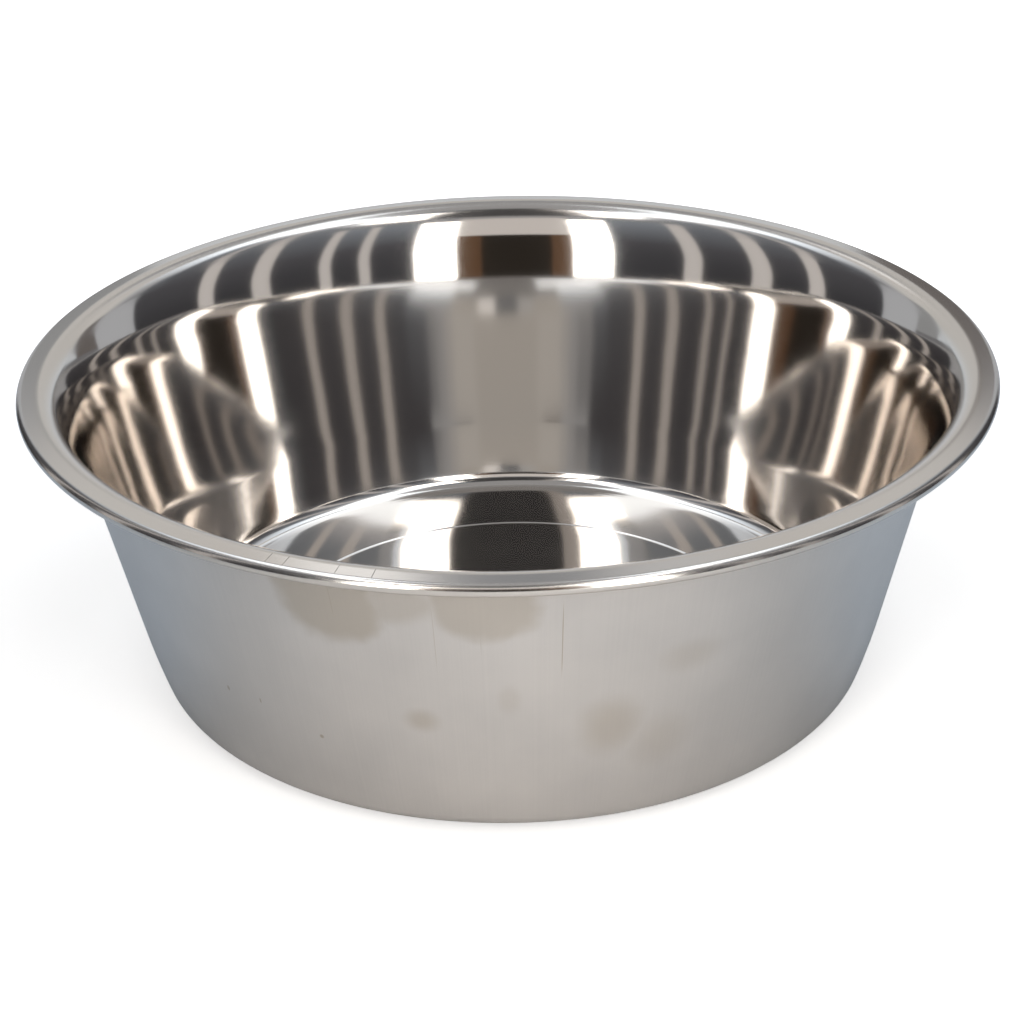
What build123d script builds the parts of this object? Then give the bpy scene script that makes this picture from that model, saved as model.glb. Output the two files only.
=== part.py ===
# A stainless steel dog bowl, pressed from one round blank of sheet.
# Millimetres, +Z up, origin on the ground at the centre of the flat base.

import os
from math import acos, ceil, cos, radians, sin, tan

from build123d import *

# Sheet and overall sizes
sheet = 0.7
rim_radius = 150.0
overall_height = 101.3

# Rolled edge: outside radius of the curl and how far round the sheet is turned
curl_radius = 2.0
curl_turn = 285.0

# Rim: highest at the crown, from where it falls outwards a little to the curl. Inside the crown the sheet bends
# down three times, each time more gently, and a lean is how far it still leans out where a bend ends. Degrees.
crown_radius = 144.0
rim_fall = 5.0
shoulder_radius = 7.0
shoulder_lean = 34.5
flare_radius = 41.3
flare_lean = 17.1
sweep_radius = 153.0
wall_lean = 12.9

# Foot of the wall: it is drawn in a little by a wide bend, and a short strip is left before the floor's corner
foot_radius = 210.0
foot_lean = 17.8
foot_strip = 0.5
corner_radius = 6.6

# Base: a flat stamped disc, a small step round it, and a floor that rises to the corner
disc_radius = 76.5
step_run = 0.8
step_rise = 0.3
step_radius = 1.2
floor_rise = 1.3

# Greatest distance between a bend and the narrow flats that stand for it
bend_gap = 0.14

fall = radians(rim_fall)
brow_r = crown_radius + shoulder_radius * sin(fall)
brow_z = overall_height - shoulder_radius * (1 - cos(fall))
curl_r = rim_radius - curl_radius
rim_run = (curl_r + curl_radius * sin(fall) - brow_r) / cos(fall)
curl_z = brow_z - rim_run * sin(fall) - curl_radius * cos(fall)

disc_z = sheet
floor_z = disc_z + step_rise
corner_z = floor_z + floor_rise
corner_top = corner_z + corner_radius * (1 - sin(radians(foot_lean)))
half_foot_bend = foot_radius * tan(radians(foot_lean - wall_lean) / 2)
foot_z = corner_top + foot_strip + half_foot_bend * cos(radians(foot_lean))

# The bowl is one sheet, so its section is the food side's line with a constant thickness behind it. The line
# starts at the cut edge inside the curl, goes over the rim and down the wall, and ends at the middle of the base.
with BuildLine() as sheet_outline:
    curl = CenterArc(
        center=(curl_r, curl_z),
        radius=curl_radius,
        start_angle=90 - rim_fall - curl_turn,
        arc_size=curl_turn,
    )
    rim = Line(curl @ 1, (brow_r, brow_z))
    shoulder = JernArc(rim @ 1, rim % 1, shoulder_radius, 90 + rim_fall - shoulder_lean)
    flare = JernArc(shoulder @ 1, shoulder % 1, flare_radius, shoulder_lean - flare_lean)
    sweep = JernArc(flare @ 1, flare % 1, sweep_radius, flare_lean - wall_lean)
    wall_top = sweep @ 1
    foot_r = wall_top.X - (wall_top.Y - foot_z) * tan(radians(wall_lean))
    corner_r = foot_r - (foot_z - corner_z) * tan(radians(foot_lean))
    FilletPolyline(
        wall_top,
        (foot_r, foot_z),
        (corner_r, corner_z),
        (disc_radius + step_run, floor_z),
        (disc_radius, disc_z),
        (0, disc_z),
        radius=[foot_radius, corner_radius, step_radius, step_radius],
    )
    offset(amount=sheet, side=Side.LEFT)


def flats(edge):
    """The starts of the flats that stand for one edge: a bend is cut into narrow flats, a straight is one."""
    if edge.geom_type == GeomType.LINE:
        return [edge @ 0]
    flat_turn = 2 * acos(1 - bend_gap / edge.radius)
    count = ceil(edge.length / (edge.radius * flat_turn))
    return [edge @ (i / count) for i in range(count)]


# The section is spun once round the axis. Flats in place of arcs keep the spun solid light.
with BuildPart() as bowl:
    with BuildSketch(Plane.XZ) as section:
        with BuildLine():
            Polyline([point for edge in sheet_outline.wire().order_edges() for point in flats(edge)], close=True)
        make_face()
    revolve(axis=Axis.Z)

bowl.part.label = "bowl"

os.makedirs("parts", exist_ok=True)
export_step(bowl.part, "parts/bowl.step")

print(f"sheet volume {bowl.part.volume:.0f} mm3")
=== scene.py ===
from math import asin, cos, pi, radians, sin, tan

import bmesh
import bpy
from mathutils import Matrix, Vector


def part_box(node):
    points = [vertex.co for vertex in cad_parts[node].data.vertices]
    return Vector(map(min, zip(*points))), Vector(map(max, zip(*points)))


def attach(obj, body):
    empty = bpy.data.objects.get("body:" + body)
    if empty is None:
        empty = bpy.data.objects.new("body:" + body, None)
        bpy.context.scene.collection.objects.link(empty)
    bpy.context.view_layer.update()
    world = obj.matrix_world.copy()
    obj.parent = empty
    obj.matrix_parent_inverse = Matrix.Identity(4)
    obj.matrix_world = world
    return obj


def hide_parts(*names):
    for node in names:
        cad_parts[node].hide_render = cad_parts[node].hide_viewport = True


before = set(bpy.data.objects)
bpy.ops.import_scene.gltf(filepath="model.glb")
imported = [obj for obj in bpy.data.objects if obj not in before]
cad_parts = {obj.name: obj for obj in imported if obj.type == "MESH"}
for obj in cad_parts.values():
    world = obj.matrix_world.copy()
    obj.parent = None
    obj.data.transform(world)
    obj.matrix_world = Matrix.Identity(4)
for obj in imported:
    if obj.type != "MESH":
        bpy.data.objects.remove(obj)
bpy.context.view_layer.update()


# Bowl. The whole object is one pressing of stainless sheet: a stamped flat disc, a floor, a leaning
# wall that flares out towards the top, and a narrow rim that falls outwards a little to an edge curled
# down and under. The food side and the rim are polished, and the outside keeps the drawn sheet's satin.
low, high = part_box("bowl")
rim_radius = high.x
rim_top = high.z
sheet = 0.0007
curl_radius = 0.002
curl_turn = radians(285)
crown_radius = 0.1440
rim_fall = radians(5)
shoulder_radius, shoulder_lean = 0.007, radians(34.5)
flare_radius, flare_lean = 0.0413, radians(17.1)
sweep_radius, wall_lean = 0.153, radians(12.9)
foot_radius, foot_lean = 0.210, radians(17.8)
foot_strip = 0.0005
corner_radius = 0.0066
disc_radius = 0.0820
step_run = 0.0008
step_rise = 0.0003
step_radius = 0.0012
floor_rise = 0.0013
holding_gap = 0.0002
bend_step = radians(5)
around_steps = 288

disc_z = low.z + sheet
floor_z = disc_z + step_rise
corner_z = floor_z + floor_rise
corner_top = corner_z + corner_radius * (1 - sin(foot_lean))
half_foot_bend = foot_radius * tan((foot_lean - wall_lean) / 2)
foot_z = corner_top + foot_strip + half_foot_bend * cos(foot_lean)

# Each bend of the food side: where it starts, the heading there, its radius and its turn, upwards
# positive. Inside the rim's crown the sheet bends down in three, each wider than the one above it.
brow_drop = shoulder_radius * (1 - cos(rim_fall))
brow = Vector((crown_radius + shoulder_radius * sin(rim_fall), 0, rim_top - brow_drop))
down_rim = Vector((cos(rim_fall), 0, -sin(rim_fall)))
rim_run = (rim_radius - curl_radius * (1 - sin(rim_fall)) - brow.x) / cos(rim_fall)
rim_end = brow + down_rim * rim_run
bends = [(rim_end, down_rim, curl_radius, -curl_turn)]
wall_top = brow
above = pi / 2 + rim_fall
wall_bends = [(shoulder_radius, shoulder_lean), (flare_radius, flare_lean), (sweep_radius, wall_lean)]
for radius, lean in wall_bends:
    wall_top = wall_top - radius * Vector((cos(lean) - cos(above), 0, sin(above) - sin(lean)))
    bends.insert(0, (wall_top, Vector((sin(lean), 0, cos(lean))), radius, lean - above))
    above = lean

# Below the wall's straight part the line has four corners, each rounded by a bend of its own.
foot_r = wall_top.x - (wall_top.z - foot_z) * tan(wall_lean)
corner_r = foot_r - (foot_z - corner_z) * tan(foot_lean)
corners = [
    (Vector((disc_radius, 0, disc_z)), step_radius),
    (Vector((disc_radius + step_run, 0, floor_z)), step_radius),
    (Vector((corner_r, 0, corner_z)), corner_radius),
    (Vector((foot_r, 0, foot_z)), foot_radius),
]
base_bends = []
before = Vector((0, 0, disc_z))
for i, (corner, radius) in enumerate(corners):
    after = corners[i + 1][0] if i + 1 < len(corners) else wall_top
    heading = (corner - before).normalized()
    onward = (after - corner).normalized()
    turn = asin(heading.x * onward.z - heading.z * onward.x)
    base_bends.append((corner - heading * radius * tan(abs(turn) / 2), heading, radius, turn))
    before = corner
bends = base_bends + bends


def go_to(bm, tip, place):
    """Draws the section line straight on to a place and returns its new tip."""
    new = bmesh.ops.extrude_vert_indiv(bm, verts=[tip])["verts"][0]
    new.co = place
    return new


def side_of_sheet(depth):
    """Spins one side of the sheet, at a depth behind the food side, from the axis to the end of the curl."""
    bm = bmesh.new()
    tip = bm.verts.new((0, 0, disc_z - depth))
    for start, heading, radius, turn in bends:
        behind = Vector((heading.z, 0, -heading.x))
        reach = start + behind * depth
        if (reach - tip.co).length > 4 * holding_gap:
            for place in (tip.co + heading * holding_gap, reach - heading * holding_gap, reach):
                tip = go_to(bm, tip, place)
        centre = start - behind * radius * (1 if turn > 0 else -1)
        steps = max(8, round(abs(turn) / bend_step))
        last = bmesh.ops.spin(bm, geom=[tip], cent=centre, axis=(0, -1, 0), angle=turn, steps=steps)
        tip = next(v for v in last["geom_last"] if isinstance(v, bmesh.types.BMVert))
    line = bm.verts[:] + bm.edges[:]
    bmesh.ops.spin(
        bm, geom=line, cent=(0, 0, 0), axis=(0, 0, 1), angle=2 * pi, steps=around_steps, use_merge=True
    )
    bmesh.ops.remove_doubles(bm, verts=bm.verts[:], dist=1e-7)
    return bm


shell = bpy.data.meshes.new("bowl_shell")
bm = bmesh.new()
for slot, depth in enumerate((0, sheet)):
    side = side_of_sheet(depth)
    for face in side.faces:
        face.material_index = 2 * slot
    side.to_mesh(shell)
    side.free()
    bm.from_mesh(shell)
edge_of_sheet = [e for e in bm.edges if e.is_boundary]
bmesh.ops.bridge_loops(bm, edges=edge_of_sheet)
bmesh.ops.recalc_face_normals(bm, faces=bm.faces[:])
for face in bm.faces:
    face.smooth = True
    middle = face.calc_center_median()
    if middle.xy.length > crown_radius and middle.z > rim_top - 2.5 * curl_radius:
        face.material_index = 1 if middle.xy.length < rim_end.x else 0
for e in edge_of_sheet:
    e.smooth = False
bm.to_mesh(shell)
bm.free()
bowl = bpy.data.objects.new("bowl_shell", shell)
bpy.context.scene.collection.objects.link(bowl)
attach(bowl, "root")
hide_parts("bowl")


def add(tree, kind, sockets=None, **settings):
    """Adds a node, sets its options, and fills its sockets with links or plain values."""
    new = tree.nodes.new(kind)
    for name, value in settings.items():
        setattr(new, name, value)
    for name, value in (sockets or {}).items():
        if isinstance(value, bpy.types.NodeSocket):
            tree.links.new(value, new.inputs[name])
        else:
            new.inputs[name].default_value = value
    return new


def steel(name, roughness):
    """Adds a bare stainless finish to the shell: the metal's own warm grey at one roughness."""
    material = bpy.data.materials.new(name)
    material.use_nodes = True
    shader = material.node_tree.nodes["Principled BSDF"]
    shader.inputs["Base Color"].default_value = (0.66, 0.63, 0.60, 1)
    shader.inputs["Metallic"].default_value = 1
    shader.inputs["Roughness"].default_value = roughness
    shell.materials.append(material)
    return material.node_tree, shader


def height_of(tree):
    """The height above the ground."""
    place = add(tree, "ShaderNodeTexCoord").outputs["Object"]
    return add(tree, "ShaderNodeSeparateXYZ", {0: place}).outputs["Z"]


def spun_noise(tree, around, along, detail):
    """Noise that follows the sheet, in cells per radian round the axis and per metre along the section."""
    place = add(tree, "ShaderNodeTexCoord").outputs["Object"]
    level = add(tree, "ShaderNodeVectorMath", {0: place, 1: (1, 1, 0)}, operation="MULTIPLY").outputs[0]
    radius = add(tree, "ShaderNodeVectorMath", {0: level}, operation="LENGTH").outputs["Value"]
    run = add(tree, "ShaderNodeMath", {0: radius, 1: height_of(tree)}, operation="ADD").outputs[0]
    way = add(tree, "ShaderNodeVectorMath", {0: level}, operation="NORMALIZE").outputs[0]
    lift = add(tree, "ShaderNodeCombineXYZ", {"Z": run}).outputs[0]
    cells = {0: lift, 1: (along, along, along)}
    grid = add(tree, "ShaderNodeVectorMath", cells, operation="MULTIPLY").outputs[0]
    cells = {0: way, 1: (around, around, around), 2: grid}
    spot = add(tree, "ShaderNodeVectorMath", cells, operation="MULTIPLY_ADD").outputs[0]
    noise = add(tree, "ShaderNodeTexNoise", {"Vector": spot, "Scale": 1, "Detail": detail})
    return noise.outputs[0]


def angle_round(tree):
    """The angle round the axis, from the front towards +X."""
    spot = add(tree, "ShaderNodeSeparateXYZ", {0: add(tree, "ShaderNodeTexCoord").outputs["Object"]})
    front = add(tree, "ShaderNodeMath", {0: spot.outputs["Y"], 1: -1}, operation="MULTIPLY").outputs[0]
    return add(tree, "ShaderNodeMath", {0: spot.outputs["X"], 1: front}, operation="ARCTAN2").outputs[0]


def most_of(tree, masks):
    """The greatest of some masks at each spot."""
    most = masks[0]
    for mask in masks[1:]:
        most = add(tree, "ShaderNodeMath", {0: most, 1: mask}, operation="MAXIMUM").outputs[0]
    return most


def bump(tree, height, depth, before=None):
    """Turns a height into a bump of a depth in metres, on top of an earlier bump."""
    sockets = {"Height": height, "Strength": 1, "Distance": depth}
    if before:
        sockets["Normal"] = before
    return add(tree, "ShaderNodeBump", sockets).outputs[0]


# Polished food side: buffed on a spindle, so fine lines run round it, and not quite true, so reflections
# waver. It is a little duller on the floor, and duller still on the curl and the crown, which see wear.
wall_polish = 0.07
floor_polish = 0.11
edge_polish = 0.22
tree, shader = steel("polished_food_side", wall_polish)
waver = bump(tree, spun_noise(tree, 5, 22, 1), 0.00005)
lines = bump(tree, spun_noise(tree, 2, 1600, 2), 0.000002, waver)
tree.links.new(lines, shader.inputs["Normal"])
height = height_of(tree)
ends = {"From Min": rim_top - 0.005, "From Max": rim_top - 0.0005}
polish = {"To Min": wall_polish, "To Max": edge_polish}
dull_edge = add(tree, "ShaderNodeMapRange", {"Value": height, **ends, **polish}).outputs[0]
ends = {"From Min": 0.004, "From Max": 0.010}
polish = {"To Min": floor_polish, "To Max": wall_polish}
dull_floor = add(tree, "ShaderNodeMapRange", {"Value": height, **ends, **polish}).outputs[0]
tree.links.new(most_of(tree, [dull_edge, dull_floor]), shader.inputs["Roughness"])

# Polished rim: the same buffing on a narrower and rougher band, crossed near the front by fine scratches
# at so many degrees from the front.
scratches = [-25.6, -23.6, -17.9, -14.0]
scratch_width = radians(0.045)
tree, shader = steel("polished_rim", 0.19)
lines = bump(tree, spun_noise(tree, 2, 2600, 2), 0.000003)
tree.links.new(lines, shader.inputs["Normal"])
around = angle_round(tree)
marks = []
for turn in scratches:
    sockets = {0: around, 1: radians(turn), 2: scratch_width}
    marks.append(add(tree, "ShaderNodeMath", sockets, operation="COMPARE").outputs[0])
worn = {0: most_of(tree, marks), 1: spun_noise(tree, 60, 900, 1)}
mark = add(tree, "ShaderNodeMath", worn, operation="MULTIPLY").outputs[0]
shades = {"Factor": mark, "A": (0.66, 0.63, 0.60, 1), "B": (0.12, 0.11, 0.10, 1)}
metal = add(tree, "ShaderNodeMix", shades, data_type="RGBA").outputs["Result"]
tree.links.new(metal, shader.inputs["Base Color"])

# Satin outside: left as drawn, with faint upright lines from the die, soft blotches and brownish smudges.
# A smudge is a place round the bowl in degrees from the front and up it in metres, with its half sizes, how
# soft its edge is and how strong it is. The last few are small dark specks and upright scratches.
smudges = [
    (-22.0, 0.0845, 6.6, 0.0145, 0.40, 0.58),
    (-14.5, 0.0850, 6.8, 0.0065, 0.70, 0.36),
    (-3.6, 0.0855, 6.4, 0.0130, 0.35, 0.48),
    (-12.0, 0.0435, 1.8, 0.0033, 1.50, 0.42),
    (12.4, 0.0400, 3.4, 0.0085, 1.40, 0.40),
    (22.6, 0.0612, 3.2, 0.0045, 1.50, 0.22),
    (19.5, 0.0310, 3.6, 0.0080, 1.50, 0.22),
    (-0.6, 0.0525, 1.3, 0.0045, 1.20, 0.16),
    (-42.5, 0.0370, 0.20, 0.0008, 0.80, 0.70),
    (-36.4, 0.0375, 0.14, 0.0009, 0.80, 0.70),
    (-27.0, 0.0308, 0.32, 0.0007, 0.80, 0.80),
    (5.85, 0.0735, 0.06, 0.0115, 0.50, 0.80),
    (-3.8, 0.0800, 0.05, 0.0120, 0.50, 0.40),
    (-9.3, 0.0770, 0.05, 0.0140, 0.50, 0.35),
    (-21.5, 0.0840, 0.05, 0.0070, 0.50, 0.85),
]
smudge_edge = 1.45
tree, shader = steel("satin_outside", 0.30)
upright = spun_noise(tree, 260, 6, 2)
tree.links.new(bump(tree, upright, 0.000008), shader.inputs["Normal"])
height = height_of(tree)
around = angle_round(tree)
ragged = spun_noise(tree, 7, 45, 3)
patches = []
for turn, level, half_turn, half_height, softness, strength in smudges:
    ends = {"From Min": radians(turn), "From Max": radians(turn + half_turn)}
    across = add(tree, "ShaderNodeMapRange", {"Value": around, **ends}, clamp=False).outputs[0]
    ends = {"From Min": level, "From Max": level + half_height}
    up = add(tree, "ShaderNodeMapRange", {"Value": height, **ends}, clamp=False).outputs[0]
    flat = add(tree, "ShaderNodeCombineXYZ", {"X": across, "Y": up}).outputs[0]
    away = add(tree, "ShaderNodeVectorMath", {0: flat}, operation="LENGTH").outputs["Value"]
    edge = add(tree, "ShaderNodeMath", {0: ragged, 1: 0.9, 2: away}, operation="MULTIPLY_ADD").outputs[0]
    ends = {"From Min": smudge_edge + softness / 2, "From Max": smudge_edge - softness / 2}
    sockets = {"Value": edge, "To Max": strength, **ends}
    patch = add(tree, "ShaderNodeMapRange", sockets, interpolation_type="SMOOTHSTEP")
    patches.append(patch.outputs[0])
clouds = {0: upright, 1: 0.3, 2: spun_noise(tree, 4, 28, 3)}
cloudy = add(tree, "ShaderNodeMath", clouds, operation="MULTIPLY_ADD").outputs[0]
blotch = add(tree, "ShaderNodeMapRange", {"Value": cloudy, "From Min": 0.4, "From Max": 0.9}).outputs[0]
shades = {"Factor": blotch, "A": (0.63, 0.613, 0.60, 1), "B": (0.70, 0.677, 0.658, 1)}
metal = add(tree, "ShaderNodeMix", shades, data_type="RGBA").outputs["Result"]
shades = {"Factor": most_of(tree, patches), "A": metal, "B": (0.44, 0.385, 0.31, 1)}
stained = add(tree, "ShaderNodeMix", shades, data_type="RGBA").outputs["Result"]
tree.links.new(stained, shader.inputs["Base Color"])


# Floor. A wide pale table that takes the bowl's soft shadow. To the camera it also glows, weakly close to
# the bowl, which paints shade round the base on top of the real shadow, and plain white further out. It lies
# a hair below the base, and is open under the base disc, so that the base shows from below.
floor_size = 8.0
floor_hole = 0.075
floor_gap = 0.0001
floor_white = 0.52
shadow_reach = 0.5
round_segments = 96
floor_bm = bmesh.new()
for radius in (floor_hole, floor_size / 2):
    bmesh.ops.create_circle(floor_bm, segments=round_segments, radius=radius)
bmesh.ops.bridge_loops(floor_bm, edges=floor_bm.edges[:])
bmesh.ops.translate(floor_bm, verts=floor_bm.verts[:], vec=(0, 0, -floor_gap))
floor_bm.normal_update()
face_down = [f for f in floor_bm.faces if f.normal.z < 0]
bmesh.ops.reverse_faces(floor_bm, faces=face_down)
floor_mesh = bpy.data.meshes.new("floor")
floor_bm.to_mesh(floor_mesh)
floor_bm.free()
floor = bpy.data.objects.new("floor", floor_mesh)
bpy.context.scene.collection.objects.link(floor)
white_table = bpy.data.materials.new("white_table")
white_table.use_nodes = True
tree = white_table.node_tree
tree.nodes.clear()
place = add(tree, "ShaderNodeTexCoord").outputs["Object"]
reach = add(tree, "ShaderNodeVectorMath", {0: place}, operation="LENGTH").outputs["Value"]
# The glow rises from floor_white at the rim to full white further out: painted shade round the base.
ends = {"From Min": rim_radius, "From Max": shadow_reach, "To Min": floor_white}
white = add(tree, "ShaderNodeMapRange", {"Value": reach, **ends}).outputs[0]
seen = add(tree, "ShaderNodeLightPath").outputs["Is Camera Ray"]
level = add(tree, "ShaderNodeMath", {0: seen, 1: white}, operation="MULTIPLY").outputs[0]
glow = add(tree, "ShaderNodeEmission", {"Strength": level}).outputs[0]
matt = add(tree, "ShaderNodeBsdfDiffuse", {"Color": (0.85, 0.85, 0.85, 1)}).outputs[0]
both = add(tree, "ShaderNodeAddShader", {0: matt, 1: glow}).outputs[0]
add(tree, "ShaderNodeOutputMaterial", {"Surface": both})
floor_mesh.materials.append(white_table)


# Painted light sheet. A sheet lies round the bowl whose colour paints the light on the table: white in
# front, where the soft lights fall, pale blue at both sides, which lie in cool shade, and darker close to
# the base, a painted shadow. The camera doesn't see it: it only shows in the outside of the wall, which
# mirrors the table.
paper_radius = 0.5
paper_lift = 0.0005
# Painted light: white in front where the soft lights fall, pale blue at the sides in cool shade.
painted_light_shades = [
    (0, (0.95, 0.94, 0.93)),
    (30, (0.84, 0.835, 0.83)),
    (55, (0.65, 0.67, 0.69)),
    (80, (0.63, 0.71, 0.80)),
]
# Painted shadow: the sheet is darker close to the base, where the bowl shades the table.
painted_shadow_depth = 0.8
painted_shadow_inner, painted_shadow_outer = 0.105, 0.15
paper_bm = bmesh.new()
bmesh.ops.create_circle(paper_bm, cap_ends=True, segments=round_segments, radius=paper_radius)
bmesh.ops.translate(paper_bm, verts=paper_bm.verts[:], vec=(0, 0, paper_lift))
paper_mesh = bpy.data.meshes.new("painted_light_sheet")
paper_bm.to_mesh(paper_mesh)
paper_bm.free()
paper = bpy.data.objects.new("painted_light_sheet", paper_mesh)
paper.visible_camera = False
paper.visible_diffuse = False
paper.visible_shadow = False
bpy.context.scene.collection.objects.link(paper)
painted_light_shading = bpy.data.materials.new("painted_light_sheet")
painted_light_shading.use_nodes = True
tree = painted_light_shading.node_tree
tree.nodes.clear()
# The sheet's colour round the bowl is painted light on the table.
aside = add(tree, "ShaderNodeMath", {0: angle_round(tree)}, operation="ABSOLUTE").outputs[0]
half_turn = add(tree, "ShaderNodeMapRange", {"Value": aside, "From Max": pi}).outputs[0]
ramp = add(tree, "ShaderNodeValToRGB", {0: half_turn})
ramp.color_ramp.elements.remove(ramp.color_ramp.elements[1])
for turn, shade in painted_light_shades:
    stop = ramp.color_ramp.elements.new(turn / 180) if turn else ramp.color_ramp.elements[0]
    stop.color = (*shade, 1)
place = add(tree, "ShaderNodeTexCoord").outputs["Object"]
reach = add(tree, "ShaderNodeVectorMath", {0: place}, operation="LENGTH").outputs["Value"]
# Painted shadow close to the base.
ends = {"From Min": painted_shadow_inner, "From Max": painted_shadow_outer, "To Min": painted_shadow_depth}
painted_shadow_fade = add(tree, "ShaderNodeMapRange", {"Value": reach, **ends}).outputs[0]
shaded = {0: ramp.outputs["Color"], "Scale": painted_shadow_fade}
tint = add(tree, "ShaderNodeVectorMath", shaded, operation="SCALE").outputs[0]
matt = add(tree, "ShaderNodeBsdfDiffuse", {"Color": tint}).outputs[0]
add(tree, "ShaderNodeOutputMaterial", {"Surface": matt})
paper_mesh.materials.append(painted_light_shading)


# Studio. A ring of cards stands close round the table: tall soft lights beside the camera with dark
# between them, dark sides with narrow lit strips, a pale backdrop, and white cards above. Through an opening
# in front, more cards stand on a wider ring. All are plain sheets that glow, shown by the polished bowl.
near = 0.55
far = 1.3
card_step = radians(3)
horizon_top = 0.14
foot_top = 0.3
dark_top = 0.36
back_top = 0.52
wing_top = 0.56
soft_top = 0.7
lamp_top = 0.72
over_top = 0.8
strip_top = 0.85
side_top = 1.06
middle_top = 1.09
high_top = 1.38
white_top = 1.8
ring_top = 2.2
far_gap_top = 0.8
far_soft_top = 1.36
far_glow_top = 1.45
far_top = 1.6
wing_left_end = -120
wing_right_end = 119
high_reach = 60
dark = (0.03, 0.03, 0.033)
dusk = (0.09, 0.09, 0.10)
dim = (0.28, 0.31, 0.35)
strip = (0.70, 0.67, 0.65)
pale = (0.85, 0.85, 0.87)
soft = (6.0, 5.82, 5.57)
soft_right = (5.6, 5.43, 5.2)
wing = (0.52, 0.54, 0.57)
wing_edge = (0.62, 0.62, 0.62)
wing_middle = (0.48, 0.49, 0.51)
wing_low = (0.30, 0.31, 0.33)
cool = (1.2, 1.33, 1.48)
bright = (2.2, 2.35, 2.5)
horizon = (0.20, 0.20, 0.21)
back_foot = (0.74, 0.79, 0.84)
back_middle = (0.66, 0.65, 0.63)
back_head = (0.70, 0.68, 0.65)
back_side = (0.74, 0.73, 0.71)
back_left = (0.34, 0.35, 0.36)
back_right = (0.17, 0.155, 0.15)
lamp = (1.42, 1.42, 1.42)
lamp_right = (0.72, 0.73, 0.74)
rim_grey = (0.27, 0.285, 0.31)
gap_brown = (0.14, 0.075, 0.04)
gap_glow = (0.74, 0.70, 0.67)
gap_head = (0.05, 0.05, 0.052)
black = (0.03, 0.025, 0.02)
post = (0.5, 0.47, 0.45)
over = (0.26, 0.27, 0.29)

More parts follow.
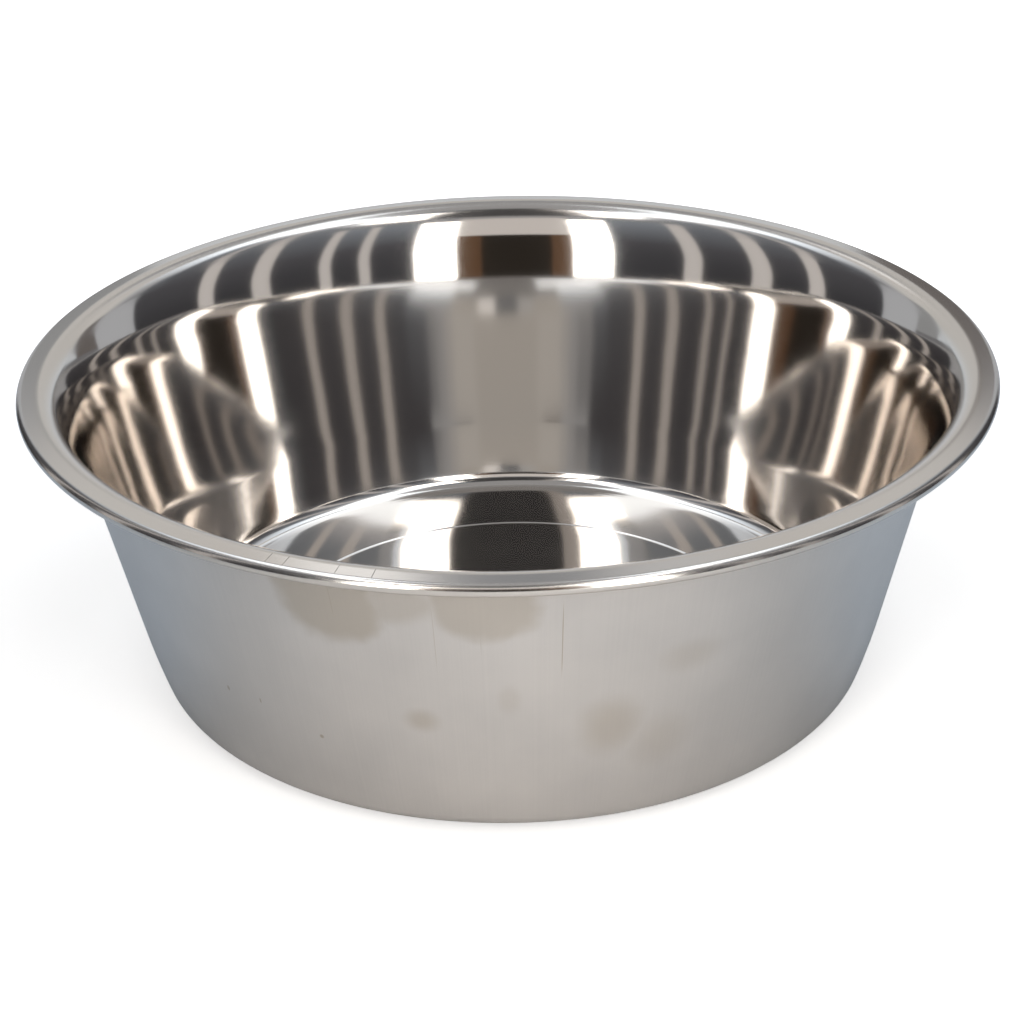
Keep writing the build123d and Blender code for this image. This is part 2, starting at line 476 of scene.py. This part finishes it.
# A card has a name, its distance from the axis, the degrees from the front where it starts and ends, the
# heights of its foot and head, and its colours there.
cards = [
    ("backdrop_horizon", near, 147, 213, 0, horizon_top, horizon, horizon),
    ("backdrop_foot", near, 158, 202, horizon_top, foot_top, back_foot, back_middle),
    ("backdrop_left_side", near, -158, -147, horizon_top, dark_top, back_left, back_left),
    ("backdrop_right_side", near, 147, 158, horizon_top, dark_top, back_right, back_right),
    ("backdrop_foot_middle", near, 158, 202, foot_top, dark_top, back_middle, back_middle),
    ("backdrop_left", near, -161, -147, dark_top, back_top, back_side, back_side),
    ("backdrop_right", near, 147, 161, dark_top, back_top, back_side, back_side),
    ("backdrop_middle", near, 161, 199, dark_top, back_top, back_middle, back_head),
    ("backdrop_left_top", near, -163, -147, back_top, lamp_top, back_head, back_head),
    ("backdrop_right_top", near, 147, 163, back_top, lamp_top, back_head, back_head),
    ("backdrop_middle_top", near, 173, 187, back_top, lamp_top, rim_grey, rim_grey),
    ("backdrop_lamp_left", near, -173, -163, back_top, lamp_top, lamp, lamp),
    ("backdrop_lamp_right", near, 163, 173, back_top, lamp_top, lamp_right, lamp_right),
    ("wing_left", near, -147, -131, 0, dark_top, wing, wing),
    ("wing_left_edge", near, -147, -142, dark_top, wing_top, wing_edge, wing_edge),
    ("wing_left_middle", near, -142, -137, dark_top, wing_top, wing_middle, wing),
    ("wing_left_low", near, -137, -132, dark_top, wing_top, wing_low, wing_middle),
    ("wing_left_dark", near, -132, wing_left_end, dark_top, wing_top, dusk, dim),
    ("wing_left_top", near, -147, wing_left_end, wing_top, over_top, wing, cool),
    ("wing_left_head", near, -147, wing_left_end, over_top, side_top, cool, bright),
    ("wing_right", near, 129, 147, 0, dark_top, wing, wing),
    ("wing_right_edge", near, 142, 147, dark_top, wing_top, wing_edge, wing_edge),
    ("wing_right_middle", near, 137, 142, dark_top, wing_top, wing_middle, wing),
    ("wing_right_low", near, 128, 137, dark_top, wing_top, wing_low, wing_middle),
    ("wing_right_dark", near, wing_right_end, 128, dark_top, wing_top, dusk, dim),
    ("wing_right_top", near, wing_right_end, 147, wing_top, over_top, wing, cool),
    ("wing_right_head", near, wing_right_end, 147, over_top, side_top, cool, bright),
    ("soft_light_left", far, -32.2, -20.4, 0, far_soft_top, soft, soft),
    ("soft_light_left_side", far, -50, -32.2, 0, far_top, dark, dim),
    ("soft_light_left_over", far, -32.2, -20.4, far_soft_top, far_top, over, over),
    ("gap_left", far, -20.4, -14, 0, far_gap_top, gap_brown, gap_brown),
    ("gap_middle", far, -14, 7, 0, far_gap_top, black, black),
    ("gap_right", far, 7, 26, 0, far_gap_top, gap_brown, gap_brown),
    ("gap_upper", far, -20.4, 26, far_gap_top, far_glow_top, gap_glow, gap_glow),
    ("soft_light_right", near, 15.5, 28.5, 0, soft_top, soft_right, soft_right),
    ("over_left", near, -62, -37, soft_top, over_top, over, over),
    ("over_right", near, 15.5, 62, soft_top, over_top, over, over),
    ("high_light_left", near, -62, -34, middle_top, high_top, soft, soft),
    ("high_light_left_low", near, -50, -32, over_top, middle_top, soft, soft),
    ("high_light_left_edge", near, -54, -50, over_top, middle_top, cool, cool),
    ("high_light_left_side", near, -62, -54, over_top, middle_top, wing, wing),
    ("high_light_right", near, 29, 62, middle_top, high_top, soft_right, soft_right),
    ("high_light_right_low", near, 29, 51, over_top, middle_top, soft_right, soft_right),
    ("high_light_right_edge", near, 51, 55, over_top, middle_top, cool, cool),
    ("high_light_right_side", near, 55, 62, over_top, middle_top, wing, wing),
    ("high_over_left", near, -62, -34, high_top, ring_top, dim, dim),
    ("high_over_right", near, 29, 62, high_top, ring_top, dim, dim),
    ("gap_top", near, -24, 29, over_top, ring_top, gap_head, gap_head),
    ("gap_post_low", near, -32, -24, over_top, middle_top, post, post),
    ("gap_post", near, -34, -24, middle_top, ring_top, post, post),
    ("white_left", near, -158, -62, side_top, white_top, bright, bright),
    ("white_right", near, 62, 158, side_top, white_top, bright, bright),
]
side_stops = {
    "left": [-131, -107, -101, -87, -80, -63, -57, -37],
    "right": [28.5, 43, 46.5, 55.5, 59.5, 76, 82.5, 96.5, 102.5, 129],
}
for side, stops in side_stops.items():
    for i, (start, end) in enumerate(zip(stops, stops[1:])):
        low_colours = (strip, strip) if i % 2 else (dark, dusk)
        top_colours = (strip, strip) if i % 2 else (dusk, dim)
        head_colours = (strip, pale) if i % 2 else (dim, pale)
        cards.append((f"side_{side}_{i}", near, start, end, 0, dark_top, *low_colours))
        start = max(start, wing_left_end)
        end = min(end, wing_right_end)
        if abs(start + end) / 2 > high_reach:
            cards.append((f"side_{side}_{i}_top", near, start, end, dark_top, strip_top, *top_colours))
            cards.append((f"side_{side}_{i}_head", near, start, end, strip_top, side_top, *head_colours))
        else:
            cards.append((f"side_{side}_{i}_top", near, start, end, dark_top, soft_top, *top_colours))
for name, radius, start, end, foot, head, foot_colour, head_colour in cards:
    card_bm = bmesh.new()
    spot = Vector((radius * sin(radians(start)), -radius * cos(radians(start)), foot))
    upright = bmesh.ops.extrude_vert_indiv(card_bm, verts=[card_bm.verts.new(spot)])
    upright["verts"][0].co.z = head
    turn = radians(end - start)
    bmesh.ops.spin(
        card_bm, geom=card_bm.verts[:] + card_bm.edges[:], cent=(0, 0, 0), axis=(0, 0, 1),
        angle=turn, steps=max(1, round(turn / card_step)),
    )
    card_mesh = bpy.data.meshes.new(name)
    card_bm.to_mesh(card_mesh)
    card_bm.free()
    card = bpy.data.objects.new(name, card_mesh)
    card.visible_camera = False
    bpy.context.scene.collection.objects.link(card)
    shine = bpy.data.materials.new(name)
    shine.use_nodes = True
    tree = shine.node_tree
    tree.nodes.clear()
    tint = (*foot_colour, 1)
    if foot_colour != head_colour:
        ends = {"From Min": foot, "From Max": head}
        rise = add(tree, "ShaderNodeMapRange", {"Value": height_of(tree), **ends}).outputs[0]
        shades = {"Factor": rise, "A": (*foot_colour, 1), "B": (*head_colour, 1)}
        tint = add(tree, "ShaderNodeMix", shades, data_type="RGBA").outputs["Result"]
    glow = add(tree, "ShaderNodeEmission", {"Color": tint, "Strength": 1}).outputs[0]
    add(tree, "ShaderNodeOutputMaterial", {"Surface": glow})
    card_mesh.materials.append(shine)

world = bpy.data.worlds.new("ceiling")
bpy.context.scene.world = world
world.use_nodes = True
tree = world.node_tree
tree.nodes.clear()
seen = add(tree, "ShaderNodeLightPath").outputs["Is Camera Ray"]
shades = {"Factor": seen, "A": (0.38, 0.38, 0.385, 1), "B": (1, 1, 1, 1)}
sky = add(tree, "ShaderNodeMix", shades, data_type="RGBA").outputs["Result"]
ceiling = add(tree, "ShaderNodeBackground", {"Color": sky}).outputs[0]
add(tree, "ShaderNodeOutputWorld", {"Surface": ceiling})
bpy.context.scene.cycles.glossy_bounces = 12


# Camera. It looks down on the bowl from the front, from about two bowl widths away, and leans a little to
# one side.
view_tilt = radians(26.711)
view_roll = radians(-1.229)
view_place = (0.00047, -0.68376, rim_top + 0.28931)
camera_data = bpy.data.cameras.new("camera")
camera_data.sensor_width = 36
camera_data.lens = 84.226
camera = bpy.data.objects.new("camera", camera_data)
bpy.context.scene.collection.objects.link(camera)
look = Matrix.Rotation(pi / 2 - view_tilt, 4, "X") @ Matrix.Rotation(view_roll, 4, "Z")
camera.matrix_world = Matrix.Translation(view_place) @ look
bpy.context.scene.camera = camera
bpy.context.scene.view_settings.view_transform = "Standard"
